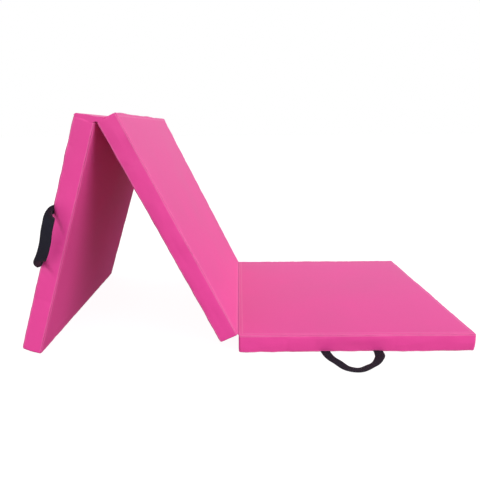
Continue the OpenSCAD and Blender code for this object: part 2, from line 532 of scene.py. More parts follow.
def plated_metal(colour):
    """Nickel-plated metal with fine brushing and a few dull spots."""
    s = Shader("zip_metal")
    brushed = s.noise(s.place((300, 300, 3000)), 1.0, 3)
    spots = s.noise(s.place(), 400.0, 4)
    body = s.mix(spots, shade(colour, 0.8), shade(colour, 1.1))
    return s.finish(
        Base_Color=body,
        Metallic=1.0,
        Roughness=s.remap(s.math("ADD", brushed, spots), 0.5, 1.5, 0.22, 0.42),
        Normal=s.relief(brushed, 0.00005, 0.4),
    )


FINISHES = {}


def finishes():
    """The materials, made once."""
    if not FINISHES:
        colours = bpy.context.scene.mat_colours
        FINISHES["cloth"] = coated_cloth(tuple(colours.cloth))
        FINISHES["webbing"] = woven_webbing(tuple(colours.webbing))
        FINISHES["tape"] = woven_tape(tuple(colours.cloth))
        FINISHES["coil"] = nylon(tuple(colours.cloth), "zip_coil", 0.7)
        FINISHES["thread"] = nylon(tuple(colours.cloth), "thread", 1.05)
        FINISHES["metal"] = plated_metal(tuple(colours.metal))
    return FINISHES


# ---- the covers ----

# Rows beside an edge, from the seam inwards; past the last, the rows are even
EDGE_ROWS = (0, 0.6, 1.2, 1.8, 2.5, 3.4, 4.6, 6.2, 8, 9.4, 10.6, 12, 14.5, 18)

# The opening in the back border, and how deep the cloth turns in there
ZIP_OPEN = 0.014
ZIP_HALF_L = 0.281
ZIP_RECESS = 0.0043

# How far the stitches that hold a zip are from its middle
STITCH_LINE = 0.0092

# How wide a border's roll is, and how far from the seam the turned-in cloth ends
BORDER_ROLL = 0.010
ALLOWANCE = 0.0094

# The ends where a hinge's strip is sewn in under a face: (end, face)
HINGED = {
    "base": ((-1, 1),),
    "middle": ((1, 1), (-1, -1)),
    "end": ((1, -1),),
}


def rows(half, step):
    """Row places from -half to half, close together by both ends."""
    near = np.array(EDGE_ROWS) * MM
    inner = half - near[-1]
    even = np.linspace(-inner, inner, 2 * round(inner / step) + 1)
    return np.concatenate([-half + near[:-1], even, half - near[:-1][::-1]])


def zip_rows(half):
    """Rows up a border, with two at each lip of the zip's opening."""
    near = [d for d in EDGE_ROWS if d < 11]
    lip = ZIP_OPEN / 2 / MM
    upper = [half / MM - d for d in near]
    inner = [lip + 3.5, lip + 1.6, lip + 0.4, lip, lip - 0.4, lip - 1.4, lip / 2]
    upper = [z for z in upper if z > inner[0] + 0.8] + inner
    return np.array([-z for z in upper] + [0.0] + upper[::-1]) * MM


def lattice(xs, ys, zs):
    """The points and outward quads of a box's surface, and the points' numbers."""
    shape = (len(xs), len(ys), len(zs))
    inside = np.ones(shape, bool)
    inside[[0, -1]] = False
    inside[:, [0, -1]] = False
    inside[:, :, [0, -1]] = False
    number = np.full(shape, -1)
    number[~inside] = np.arange((~inside).sum())
    points = np.stack(np.meshgrid(xs, ys, zs, indexing="ij"), -1)[~inside]
    quads = np.concatenate(
        [
            grid_faces(number[:, :, -1], False),
            grid_faces(number[:, :, 0], True),
            grid_faces(number[:, 0, :], False),
            grid_faces(number[:, -1, :], True),
            grid_faces(number[0, :, :], True),
            grid_faces(number[-1, :, :], False),
        ]
    )
    return points, quads, number


def round_corners(x, y, half_x, half_y, radius):
    """Maps a rectangle's points into one with round corners, rows staying rows."""
    u = np.clip((np.abs(x) - half_x + radius) / radius, 0, 1)
    v = np.clip((np.abs(y) - half_y + radius) / radius, 0, 1)
    length = np.maximum(np.hypot(u, v), 1e-9)
    reach = np.maximum(u, v) / length
    in_corner = (u > 0) & (v > 0)
    share = np.where(in_corner, reach, 1.0)
    new_x = np.where(in_corner, half_x - radius + u * share * radius, np.abs(x))
    new_y = np.where(in_corner, half_y - radius + v * share * radius, np.abs(y))
    return np.sign(x) * new_x, np.sign(y) * new_y


def roll_share(s, width, power=2.3):
    """1 at a seam, falling to 0 at width."""
    return (1 - np.clip(s / width, 0, 1)) ** power


class CoverShape:
    """Shapes one panel's cover in the panel's own frame, from the points of a plain box."""

    def __init__(self, panel, settings, settled, points):
        self.panel = panel
        self.set = settings
        self.settled = settled
        self.seed = first_seed(panel)
        self.x, self.y, self.z = points.T
        self.on_face = HALF_T - np.abs(self.z) < 1e-6
        self.side = np.where(self.z < 0, -1, 1)
        # Distances from the panel's edge in plan and from the nearest seam over the surface
        from_end, from_side = HALF_L - np.abs(self.x), HALF_W - np.abs(self.y)
        self.to_edge = np.minimum(from_end, from_side)
        self.seam = np.where(self.on_face, self.to_edge, HALF_T - np.abs(self.z))
        self.by_end = from_end < from_side
        self.along = np.where(self.by_end, self.y, self.x)
        ends = [end for end, _ in HINGED[panel]]
        self.by_hinge = self.by_end & np.isin(np.sign(self.x), ends)
        self.hinge = self.hinge_share()
        self.roll = settings.roll * (1 - 0.75 * self.hinge)
        self.tuck = 0.6 * settings.roll * (1 - 0.7 * self.hinge)

    def hinge_share(self):
        """How much of a seam's roll its hinge takes away."""
        share = np.zeros_like(self.x)
        for end, face in HINGED[self.panel]:
            near = smooth_step((end * self.x - HALF_L + 0.04) / 0.035)
            share = np.maximum(share, near * (face * self.z > 0))
        return share * self.by_end

    def outward(self, x, y):
        """The outward direction in plan, turning smoothly round the upright corners."""
        radius = self.set.corner
        out_x = np.clip(np.abs(x) - HALF_L + radius, 0, None) * np.sign(self.x)
        out_y = np.clip(np.abs(y) - HALF_W + radius, 0, None) * np.sign(self.y)
        length = np.hypot(out_x, out_y)
        out = np.stack([out_x, out_y], -1) / np.maximum(length, 1e-9)[:, None]
        out[length < 1e-7] = 0
        return out

    def seam_lift(self):
        """Height of the ridges and puckers beside a seam."""
        short = ripple(self.along, self.side * 0.7, 0.017, self.seed + 2, 7)
        long = ripple(self.along, self.side * 0.9, 0.052, self.seed + 3, 7)
        pucker = self.set.pucker * (0.7 * short + 1.6 * long)
        fade = np.exp(-self.seam / 0.007) * (1 - np.exp(-self.seam / 0.0012))
        shape = bump(self.seam, 0.0022, 0.0011) - 1.1 * bump(self.seam, 0.0, 0.0008)
        shape += 0.35 * bump(self.seam, ALLOWANCE, 0.0013) * self.on_face
        lift = self.set.seam_ridge * shape + 2.2 * pucker * fade
        return lift * (1 - 0.75 * self.hinge)

    def face_height(self, lift, swell):
        """How high a face is over the panel's middle: down by the roll at its edge."""
        soft = 0.0004 * np.exp(-np.clip(self.to_edge, 0, None) / 0.035)
        drop = self.roll * roll_share(self.seam, 0.013 - 0.008 * self.hinge)
        return HALF_T - drop - soft * (1 - self.hinge) + lift + swell

    def border_height(self):
        """How high a border's point is: the border is squeezed between its two seams."""
        squeeze = self.roll + 0.0004 * (1 - self.hinge)
        return np.abs(self.z) - squeeze * roll_share(self.seam, BORDER_ROLL, 1.7)

    def border_out(self, lift, puff):
        """How far a border stands out; a hinged end stays nearly flat, to fold shut."""
        belly = 0.0011 * np.cos(np.abs(self.z) / HALF_T * math.pi / 2)
        belly = np.where(self.by_hinge, 0.3 * belly, belly + puff)
        lift = np.where(self.by_hinge, 0.3 * lift, lift)
        wave = np.where(self.by_hinge, 0.0001, 0.0005) * (1 - np.abs(self.z) / HALF_T)
        wave *= ripple(self.along, self.z * 2.0, 0.09, self.seed + 5)
        return belly + lift + wave - self.tuck * roll_share(self.seam, BORDER_ROLL)

    def points(self):
        """The cover's points."""
        lift = self.seam_lift()
        swell, puff = self.settle()
        face, border = self.face_height(lift, swell), self.border_height()
        new_z = self.side * np.where(self.on_face, face, border)
        x, y = round_corners(self.x, self.y, HALF_L, HALF_W, self.set.corner)
        inward = self.tuck * roll_share(self.seam, 0.006)
        offset = np.where(self.on_face, -inward, self.border_out(lift, puff))
        wave = 0.0008 * ripple(self.along, self.side * 0.3, 0.16, self.seed + 1, 6)
        offset += wave * np.exp(-self.seam / 0.012) * (1 - self.hinge)
        out = self.outward(x, y)
        new_y = y + out[:, 1] * offset + self.front_marks()
        return np.stack([x + out[:, 0] * offset, self.turned_in(new_y), new_z], -1)

    def turned_in(self, y):
        """The back border turned in at the zip."""
        back = (HALF_W - self.y < 1e-6) & (np.abs(self.x) < ZIP_HALF_L)
        depth = smooth_step((ZIP_OPEN / 2 + 0.0003 - np.abs(self.z)) / 0.0007)
        return np.where(back, y + (HALF_W - ZIP_RECESS - y) * depth, y)

    def seam_shade_and_highlight(self):
        """The painted shade in a seam's groove and the painted highlight on its ridges, for the
        material.
        """
        painted_shade = bump(self.seam, 0.0, 0.0010) * (1 - 0.2 * self.hinge)
        painted_highlight = bump(self.seam, 0.0024, 0.0014)
        painted_highlight += 0.9 * bump(self.seam, ALLOWANCE, 0.0014) * self.on_face
        return painted_shade, painted_highlight

    def settle(self):
        """How far the foam pushes out the faces and the borders."""
        crown = self.set.crown
        if self.settled is None:
            wave = 0.0003 * ripple(self.x, self.y, 0.22, self.seed + 4)
            return wave * smooth_step(self.to_edge / 0.05), np.zeros_like(self.x)
        u, v = self.x / (2 * HALF_L) + 0.5, self.y / (2 * HALF_W) + 0.5
        w = self.z / THICK + 0.5

        def push(low_side, high_side, where_high, a, b):
            low, high = self.settled[low_side], self.settled[high_side]
            return np.where(where_high, look_up(high, a, b), look_up(low, a, b))

        face = push("bottom", "top", self.z > 0, u, v)
        sides = push("front", "back", self.y > 0, u, w)
        ends = push("left", "right", self.x > 0, v, w)
        border = np.where(self.by_end, ends, sides)
        swell = crown * np.tanh(face / crown) * smooth_step(self.to_edge / 0.02)
        return swell, crown * np.tanh(border / crown)

    def front_marks(self):
        """How far a handle presses the front border in."""
        if self.panel == "middle":
            return np.zeros_like(self.x)
        x = self.x - handle_middle(self.panel)
        side = -1 if self.panel == "base" else 1
        from_seam = HALF_T - side * self.z
        marks = self.mouths(x, from_seam)
        if self.panel == "base":
            marks += 0.0026 * bump(x, 0.022, 0.10) * smooth_step((0.012 - self.z) / 0.03)
        else:
            marks += self.creases(x, from_seam)
        return marks * np.exp(-(HALF_W + self.y) / 0.004)

    def mouths(self, x, from_seam):
        """The hollows where the webbing goes in at the seam."""
        hollows = np.zeros_like(x)
        for end in (BASE_ROUTE[0][0] * MM, BASE_ROUTE[-1][0] * MM):
            mouth = smooth_step((0.021 - np.abs(x - end)) / 0.008)
            hollows += 0.0019 * mouth * np.exp(-from_seam / 0.006)
        return hollows

    def creases(self, x, from_seam):
        """The creases that the strap's weight draws down from each of its ends."""
        folds = np.zeros_like(x)
        for start, slope, deep in ((0.062, 1.2, 0.006), (-0.068, 0.65, 0.0046)):
            line = x - start + slope * from_seam
            fold = bump(line, 0.0, 0.0075) + 0.45 * bump(line, -0.014, 0.014)
            folds += deep * fold * smooth_step((self.z + HALF_T) / THICK)
        return folds


def first_seed(panel):
    """The first of a panel's seeds."""
    return 40 + 10 * PANELS.index(panel)


def look_up(grid, u, v):
    """Values between a grid's points; u and v run from 0 to 1."""
    a = np.clip(u, 0, 1) * (grid.shape[0] - 1)
    b = np.clip(v, 0, 1) * (grid.shape[1] - 1)
    i = np.minimum(a.astype(int), grid.shape[0] - 2)
    j = np.minimum(b.astype(int), grid.shape[1] - 2)
    a, b = a - i, b - j
    low = grid[i, j] * (1 - a) + grid[i + 1, j] * a
    high = grid[i, j + 1] * (1 - a) + grid[i + 1, j + 1] * a
    return low * (1 - b) + high * b


# The coarse covers that settle as cloth: rows along, rows up, and how many frames they take
COARSE, COARSE_UP = 45, 6
SETTLE_FRAMES = 20


def cloth_box(panel, points, quads):
    """One plain cover as cloth: held at its seams and pushed out from inside."""
    obj = new_object(panel + "_settling", points, quads, finishes()["cloth"])
    half = np.array([HALF_L, HALF_W, HALF_T])
    at_side = half - np.abs(points) < 1e-6
    seams = obj.vertex_groups.new(name="seams")
    held = np.flatnonzero(at_side[:, 2] & (at_side[:, 0] | at_side[:, 1]))
    seams.add([int(i) for i in held], 1.0, "REPLACE")
    modifier = obj.modifiers.new("cloth", "CLOTH")
    cloth = modifier.settings
    cloth.quality = 5
    cloth.mass = 0.3
    cloth.tension_stiffness = 40
    cloth.compression_stiffness = 20
    cloth.shear_stiffness = 10
    cloth.bending_stiffness = 0.5
    cloth.air_damping = 3
    cloth.shrink_min = -0.004
    cloth.use_pressure = True
    cloth.uniform_pressure_force = bpy.context.scene.mat_cover.pressure
    cloth.vertex_group_mass = "seams"
    cloth.effector_weights.gravity = 0
    modifier.collision_settings.use_collision = False
    modifier.point_cache.frame_start = 1
    modifier.point_cache.frame_end = SETTLE_FRAMES
    return obj


def settle_covers():
    """Lets the three covers settle as cloth over their foam; the outward push on each side."""
    scene = bpy.context.scene
    plain, quads, number = lattice(
        np.linspace(-HALF_L, HALF_L, COARSE),
        np.linspace(-HALF_W, HALF_W, COARSE),
        np.linspace(-HALF_T, HALF_T, COARSE_UP),
    )
    boxes = {}
    for panel in PANELS:
        uneven = 0.0004 * ripple(plain[:, 0], plain[:, 1], 0.12, first_seed(panel) + 8)
        start = plain + uneven[:, None] * [0, 0, 1] * np.sign(plain)
        boxes[panel] = cloth_box(panel, start, quads)
    for moment in range(1, SETTLE_FRAMES + 1):
        scene.frame_set(moment)
    seen = bpy.context.evaluated_depsgraph_get()
    result = {}
    for panel, obj in boxes.items():
        settled = np.zeros(3 * len(plain))
        obj.evaluated_get(seen).data.vertices.foreach_get("co", settled)
        moved = settled.reshape(-1, 3) - plain
        result[panel] = {
            "top": moved[number[:, :, -1], 2],
            "bottom": -moved[number[:, :, 0], 2],
            "front": -moved[number[:, 0, :], 1],
            "back": moved[number[:, -1, :], 1],
            "left": -moved[number[0, :, :], 0],
            "right": moved[number[-1, :, :], 0],
        }
    for obj in boxes.values():
        bpy.data.objects.remove(obj)
    scene.frame_set(1)
    return result


def make_cover(panel, settled):
    """The padded cover of one panel, made in place of the frame's foam and sheets, which it
    hides.
    """
    settings = bpy.context.scene.mat_cover
    points, quads, _ = lattice(
        rows(HALF_L, settings.grid), rows(HALF_W, settings.grid), zip_rows(HALF_T)
    )
    shape = CoverShape(panel, settings, settled, points)
    shaped = shape.points() + [0, 0, HALF_T]
    # The painted seam shade and painted highlight, kept at the points for the material
    painted_shade, painted_highlight = shape.seam_shade_and_highlight()
    cover = new_object(panel + "_cover", shaped, quads, finishes()["cloth"])
    point_values(cover, "seam_groove", painted_shade)
    point_values(cover, "seam_ridge", painted_highlight)
    make_stitches(panel, cover)
    put(cover, PLACE[panel])
    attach(cover, panel)
    hidden = ["foam_core", "top_sheet", "bottom_sheet", "side_border"]
    hidden += ["back_border_upper", "back_border_lower"]
    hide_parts(*(f"{panel}_{part}" for part in hidden))


def stitch_tree():
    """Short stitches laid along a line."""
    r = Repeat("stitches", Pitch="Float", Thread="Float", Seed="Int")
    pitch, thread = r.source["Pitch"], r.source["Thread"]
    line = r.node("GeometryNodeMeshToCurve", {"Mesh": r.source["Geometry"]})
    line = r.node(
        "GeometryNodeResampleCurve", {"Curve": line, "Length": pitch}, mode="LENGTH"
    )
    ball = r.node("GeometryNodeMeshUVSphere", {"Segments": 6, "Rings": 5, "Radius": 1.0})
    half_length = r.math("MULTIPLY", pitch, 0.36)
    size = r.node("ShaderNodeCombineXYZ", {"X": half_length, "Y": thread, "Z": thread})
    stitch = r.node("GeometryNodeTransform", {"Geometry": ball, "Scale": size})
    tangent = r.node("GeometryNodeInputTangent")
    along = r.node("FunctionNodeAlignRotationToVector", {"Vector": tangent}, axis="X")
    uneven = r.node(
        "FunctionNodeRandomValue",
        {"Min": (0.85, 0.9, 0.9), "Max": (1.1, 1.1, 1.1), "Seed": r.source["Seed"]},
        data_type="FLOAT_VECTOR",
    )
    copies = {"Points": line, "Instance": stitch, "Rotation": along, "Scale": uneven}
    r.end(r.node("GeometryNodeInstanceOnPoints", copies))
    return r


def make_stitches(panel, cover):
    """The two lines of stitches that hold a zip's tape, found on the cover's own surface."""
    settings = bpy.context.scene.mat_zips
    surface = BVHTree.FromObject(cover, bpy.context.evaluated_depsgraph_get())
    xs = np.linspace(-ZIP_HALF_L + 0.003, ZIP_HALF_L - 0.003, 121)
    points, edges = [], []
    for z in (HALF_T - STITCH_LINE, HALF_T + STITCH_LINE):
        for i, x in enumerate(xs):
            hit = surface.ray_cast((x, HALF_W + 0.05, z), (0, -1, 0))[0]
            if i:
                edges.append((len(points) - 1, len(points)))
            points.append((x, hit.y + 0.0001, z))
    mesh = bpy.data.meshes.new(panel + "_stitches")
    mesh.from_pydata(points, edges, [])
    stitches = in_scene(panel + "_stitches", mesh)
    values = {
        "Pitch": settings.stitch,
        "Thread": settings.thread,
        "Seed": settings.seed,
        "Material": finishes()["thread"],
    }
    stitch_tree().run(stitches, values)
    put(stitches, PLACE[panel])
    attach(stitches, panel)


class MAT_OT_covers(bpy.types.Operator):
    """Make the three padded covers"""

    bl_idname = "mat.covers"
    bl_label = "Padded covers"

    def execute(self, context):
        settled = settle_covers()
        for panel in PANELS:
            make_cover(panel, settled.get(panel))
        return {"FINISHED"}


# ---- the fabric hinges ----


def swept_strip(name, section, half_w, thick, material):
    """A closed strip of cloth along Y, from a section of (x, z) points."""
    section = np.array(section, float)
    ahead = np.gradient(section, axis=0)
    normal = np.stack([-ahead[:, 1], ahead[:, 0]], -1)
    normal /= np.linalg.norm(normal, axis=1)[:, None]
    loop = np.concatenate(
        [section + normal * thick / 2, (section - normal * thick / 2)[::-1]]
    )
    ys = rows(half_w, 0.006)
    count = len(loop)
    points = [(x, y, z) for y in ys for x, z in loop]
    index = np.arange(len(points)).reshape(len(ys), count)
    index = np.concatenate([index, index[:, :1]], 1)
    quads = list(grid_faces(index, True))
    first, last = index[0, :count], index[-1, :count]
    ladder = count // 2
    for ring, flip in ((first, False), (last, True)):
        for i in range(ladder - 1):
            quad = [ring[i], ring[i + 1], ring[count - 2 - i], ring[count - 1 - i]]
            quads.append(quad[::-1] if flip else quad)
    return new_object(name, points, quads, material)


def recalculated(obj):
    """Turns an object's faces outwards."""
    shape = bmesh.new()
    shape.from_mesh(obj.data)
    bmesh.ops.recalc_face_normals(shape, faces=shape.faces)
    shape.to_mesh(obj.data)
    shape.free()
    return obj


def strip_painted_shade(obj, painted_shade):
    """One amount of painted seam shade all over a strip of cloth, and no painted highlight."""
    count = len(obj.data.vertices)
    point_values(obj, "seam_groove", np.full(count, painted_shade))
    point_values(obj, "seam_ridge", np.zeros(count))


def make_lower_hinge():
    """The strip of the valley between the base and middle panels, from margin to margin."""
    reach, sink = (12, 9, 6, 4, 2.6, 1.6), 0.0016
    margin = [
        (d * MM, -sink * smooth_step((d - 1.0) / 3.0) - 0.0004)
        for d in reach
    ]
    turn = turned_about(LOWER_FOLD, LEAN)
    right = [LOWER_FOLD + Vector((d, 0, h)) for d, h in margin]
    left = [turn @ (LOWER_FOLD + Vector((-d, 0, h))) for d, h in margin[::-1]]
    crease = [LOWER_FOLD + Vector((-0.0004, 0, -0.0008))]
    section = [(p.x, p.z) for p in right + crease + left]
    half_w = HALF_W - 0.004
    strip = swept_strip("lower_hinge", section, half_w, 0.0008, finishes()["cloth"])
    recalculated(strip)
    # Painted shade all over the strip where it lies in the valley, as in a seam's groove
    strip_painted_shade(strip, 0.8)
    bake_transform(strip)
    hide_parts("lower_hinge_strip")


def above_fold(radius, direction):
    """A point of the XZ plane, by its distance in mm and direction from the upper fold line."""
    ray = Vector((math.cos(direction), math.sin(direction)))
    return UPPER_FOLD.xz + ray * radius * MM


# The upper strip leaves the middle panel's end face and ends on the end panel's outer edge
OVER_FIRST = above_fold(23.8, UP_MIDDLE - 0.03)
OVER_LAST = above_fold(46.3, UP_END - 0.108)
OVER_RISE = Vector((OVER_FIRST.y - OVER_LAST.y, OVER_LAST.x - OVER_FIRST.x)).normalized()


def upper_ring(y):
    """The upper strip's outline at one place along Y."""
    from_end = HALF_W + 0.0008 - abs(y)
    sink = 0.8 + 4.2 * roll_share(from_end, 0.010, 1.0)
    lower = 1 - 0.05 * roll_share(from_end, 0.004)
    wave = 0.0007 * ripple(np.array([y]), np.array([0.0]), 0.11, 91)[0]
    ring = []
    for t in np.linspace(0, 1, 16):
        arch = math.sin(math.pi * t)
        fold = 0.0008 * math.sin(3 * math.pi * t + 14 * y)
        point = OVER_FIRST.lerp(OVER_LAST, t) - OVER_RISE * (wave - 0.0006 + fold) * arch
        ring.append(UPPER_FOLD.xz + (point - UPPER_FOLD.xz) * lower)
    # Over the end panel's edge, then down both end faces, a little under their surface
    for radius, over in ((48.9, 0.05), (50.0, 0.012), (49.8, -0.03), (48.6, -0.06)):
        ring.append(above_fold(radius * lower, UP_END - over))
    for radius in (44, 36, 27, 18, 10, 4):
        ring.append(above_fold(radius, UP_END + min(sink / radius, 0.5)))
    ring.append(above_fold(1.0, (UP_MIDDLE + UP_END) / 2))
    for radius in (4, 10, 16):
        ring.append(above_fold(radius, UP_MIDDLE - min(sink / radius, 0.5)))
    return ring


def make_upper_hinge():
    """The strip over the ridge: it spans the notch between the two end faces."""
    points, index = [], []
    ys = rows(HALF_W + 0.0007, 0.006)
    for y in ys:
        ring = upper_ring(y)
        index.append(range(len(points), len(points) + len(ring)))
        points += [(p.x, y, p.y) for p in ring]
    index = np.array(index)
    around = np.concatenate([index, index[:, :1]], 1)
    faces = list(grid_faces(around, True))
    centre = UPPER_FOLD.xz - OVER_RISE * 0.004
    for ring, flip, y in ((index[0], False, ys[0]), (index[-1], True, ys[-1])):
        hub = len(points)
        points.append((centre.x, y, centre.y))
        for i in range(len(ring)):
            corner = [ring[i], ring[(i + 1) % len(ring)], hub]
            faces.append(corner[::-1] if flip else corner)
    strip = new_object("upper_hinge", points, faces, finishes()["cloth"])
    strip.data.set_sharp_from_angle(angle=math.radians(50))
    recalculated(strip)
    strip_painted_shade(strip, 0.0)
    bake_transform(strip)
    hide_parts("upper_hinge_strip")


class MAT_OT_hinges(bpy.types.Operator):
    """Make the two fabric hinges"""

    bl_idname = "mat.hinges"
    bl_label = "Fabric hinges"

    def execute(self, context):
        make_lower_hinge()
        make_upper_hinge()
        return {"FINISHED"}


# ---- the webbing handles ----

# Each point in mm from the middle of the seam: along it, out from it, up, and the turn of the
# webbing in degrees. The base handle lies on the floor; the end handle droops from its seam.
BASE_ROUTE = (
    (-68, -1.4, 1.8, 0),
    (-63, -21, 1, 0),
    (-45, -54, 0.9, 0),
    (-27, -78, 1.2, 2),
    (-7, -85, 2.4, 6),
    (20, -76, 4, 13),
    (48, -53, 4.6, 18),
    (64, -25, 3.6, 12),
    (68, -1.4, 1.8, 0),
)
END_ROUTE = (
    (-68, -1.4, -1.8, 0),
    (-67, -9, -2.6, 8),
    (-62, -19, -4.6, 30),
    (-53, -34, -9, 62),
    (-40, -45, -15, 80),
    (-17, -50, -19, 80),
    (9, -51, -19, 80),
    (35, -49, -16, 80),
    (54, -44, -14, 80),
    (62, -33, -10, 62),
    (66, -19, -5.4, 30),
    (67.6, -9, -2.6, 8),
    (68, -1.4, -1.8, 0),
)

# How much of a strap lies behind the seam, in mm
SEWN_IN = 19.0


def path_through(route, steps):
    """A smooth path through the route's points."""
    p = np.array(route, float)
    p = np.concatenate([p[:1], p, p[-1:]])
    path = []
    for a, b, c, d in zip(p, p[1:], p[2:], p[3:]):
        for k in range(steps):
            u = k / steps
            square = (2 * a - 5 * b + 4 * c - d) * u * u
            cube = (3 * b - a - 3 * c + d) * u**3
            path.append(0.5 * (2 * b + (c - a) * u + square + cube))
    path.append(p[-1])
    return np.array(path)


def webbing_section(width, thick, across=14):
    """The outline of the webbing: flat faces and round edges."""
    v = np.linspace(-1, 1, across + 1)
    high = np.sqrt(np.clip(1 - np.abs(v) ** 8, 0, 1))
    top = [(a * width / 2, h * thick / 2) for a, h in zip(v, high)]
    under = [(a * width / 2, -h * thick / 2) for a, h in zip(v[::-1], high[::-1])]
    return np.array(top[:-1] + under[:-1])


def ribbon(name, centre, across, section, material, curl=0.0):
    """A closed ribbon along a path, with its own flat coordinates for the weave."""
    heading = np.gradient(centre, axis=0)
    heading /= np.linalg.norm(heading, axis=1)[:, None]
    face = np.cross(heading, across)
    steps = np.linalg.norm(np.diff(centre, axis=0), axis=1)
    along = np.concatenate([[0], np.cumsum(steps)])
    half = section[:, 0].max()
    points, flat = [], []
    for i in range(len(centre)):
        lift = curl * math.sin(along[i] * 140 + 1.0)
        for a, t in section:
            bend = lift * (a / half) ** 2
            points.append(centre[i] + across[i] * a + face[i] * (t + bend))
            flat.append((along[i], a))
    index = np.arange(len(points)).reshape(len(centre), len(section))
    around = np.concatenate([index, index[:, :1]], 1)
    quads = [tuple(q) for q in grid_faces(around, False)]
    quads += [tuple(index[0]), tuple(index[-1][::-1])]
    made = recalculated(new_object(name, points, quads, material))
    layer = made.data.uv_layers.new(name="flat")
    for loop in made.data.loops:
        layer.data[loop.index].uv = flat[loop.vertex_index]
    return made, float(along[-1])


def make_strap(name, route, seam_point, place, bodies, sewn):
    """One handle, from inside the seam, round the loop and back into the seam."""
    settings = bpy.context.scene.mat_handles
    path = path_through(route, 14)
    # The two ends run straight in behind the seam
    inside = np.linspace([0, SEWN_IN, 0, 0], [0, 1.5, 0, 0], 6)
    path = np.concatenate([path[0] + inside, path, path[-1] + inside[::-1]])
    centre = path[:, :3] * MM
    heading = np.gradient(centre, axis=0)
    heading /= np.linalg.norm(heading, axis=1)[:, None]
    side = np.cross(heading, [0, 0, 1])
    side /= np.linalg.norm(side, axis=1)[:, None]
    up = np.cross(side, heading)
    turn = np.radians(path[:, 3])[:, None]
    across = side * np.cos(turn) + up * np.sin(turn)
    section = webbing_section(settings.width, settings.thickness)
    strap, length = ribbon(
        name, centre, across, section, finishes()["webbing"], curl=0.0006
    )
    put(strap, place @ Matrix.Translation(seam_point))
    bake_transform(strap)
    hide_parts(bodies[1] + "_strap", sewn)


def handle_middle(panel):
    """Where a handle's middle is along its seam, from the frame's sewn ends."""
    low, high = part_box(panel + "_handle_sewn_ends")
    return (PLACE[panel].inverted() @ ((Vector(low) + Vector(high)) / 2)).x


class MAT_OT_handles(bpy.types.Operator):
    """Make the two webbing handles"""

    bl_idname = "mat.handles"
    bl_label = "Webbing handles"

    def execute(self, context):
        make_strap(
            "base_handle",
            BASE_ROUTE,
            (handle_middle("base"), -HALF_W, 0),
            PLACE["base"],
            ("base", "base_handle"),
            "base_handle_sewn_ends",
        )
        make_strap(
            "end_handle",
            END_ROUTE,
            (handle_middle("end"), -HALF_W, THICK),
            PLACE["end"],
            ("end", "end_handle"),
            "end_handle_sewn_ends",
        )
        return {"FINISHED"}


# ---- the zips ----


def zip_frame(panel):
    """The middle of a panel's back face: X along the zip, Y out of the border."""
    return PLACE[panel] @ Matrix.Translation((0, HALF_W, HALF_T))


def zip_box(part):
    """A zip part's box in the zip's own frame, from the base panel's zip."""
    low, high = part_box("base_zip_" + part)
    middle = Vector((0, HALF_W, HALF_T))
    return Vector(low) - middle, Vector(high) - middle


def make_tape(panel, name):
    """One half of a zip's woven tape."""
    low, high = zip_box("tape_upper")
    side = 1 if name == "upper" else -1
    xs = np.linspace(low.x, high.x, 61)
    middle = [(low.y + high.y) / 2, side * (low.z + high.z) / 2]
    centre = np.stack([xs, np.full_like(xs, middle[0]), np.full_like(xs, middle[1])], -1)
    across = np.tile([0.0, 0.0, 1.0], (len(xs), 1))
    section = webbing_section(high.z - low.z, high.y - low.y)
    tape, length = ribbon(
        f"{panel}_tape_{name}", centre, across, section, finishes()["tape"]
    )
    put(tape, zip_frame(panel))
    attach(tape, panel)
    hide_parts(f"{panel}_zip_tape_{name}")


def coil_tree():
    """Two rows of wire turns, each row half a turn from the other."""
    r = Repeat("zip_coil", Count="Int", Pitch="Float", Wire="Float", Size="Vector", Row="Float")
    count, pitch = r.source["Count"], r.source["Pitch"]
    turn = r.node("GeometryNodeCurvePrimitiveCircle", {"Resolution": 10, "Radius": 1.0})
    turn = r.node(
        "GeometryNodeTransform",
        {"Geometry": turn, "Scale": r.source["Size"], "Rotation": (0, math.pi / 2, 0)},
    )
    round_wire = {"Resolution": 5, "Radius": r.source["Wire"]}
    wire = r.node("GeometryNodeCurvePrimitiveCircle", round_wire)
    turn = r.node("GeometryNodeCurveToMesh", {"Curve": turn, "Profile Curve": wire})
    step = r.node("ShaderNodeCombineXYZ", {"X": pitch})
    first = r.math("MULTIPLY", r.math("MULTIPLY", pitch, count), -0.5)
    both = []
    for side in (-1, 1):
        ahead = r.math("ADD", first, r.math("MULTIPLY", pitch, 0.25 * side))
        out = r.math("MULTIPLY", r.source["Row"], side)
        start = r.node("ShaderNodeCombineXYZ", {"X": ahead, "Z": out})
        row = r.node(
            "GeometryNodeMeshLine",
            {"Count": count, "Start Location": start, "Offset": step},
            mode="OFFSET",
        )
        copies = {"Points": row, "Instance": turn, "Rotation": (0, 0.16 * side, 0)}
        both.append(r.node("GeometryNodeInstanceOnPoints", copies))
    r.end(r.node("GeometryNodeJoinGeometry", {"Geometry": both}))
    return r


def make_coil(panel):
    """A zip's coil."""
    settings = bpy.context.scene.mat_zips
    low, high = zip_box("coil")
    half_y = (high.y - low.y) / 2 - settings.wire
    half_z = high.z * 0.56 - settings.wire
    coil = new_object(panel + "_coil", [(0, 0, 0)], [], finishes()["coil"])
    values = {
        "Count": int((high.x - low.x) / settings.tooth_pitch),
        "Pitch": settings.tooth_pitch,
        "Wire": settings.wire,
        "Size": (half_z, half_y, 1.0),
        "Row": high.z - half_z - settings.wire,
        "Material": finishes()["coil"],
    }
    coil_tree().run(coil, values)
    put(coil, zip_frame(panel) @ Matrix.Translation((0, (low.y + high.y) / 2, 0)))
    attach(coil, panel)
    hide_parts(panel + "_zip_coil")


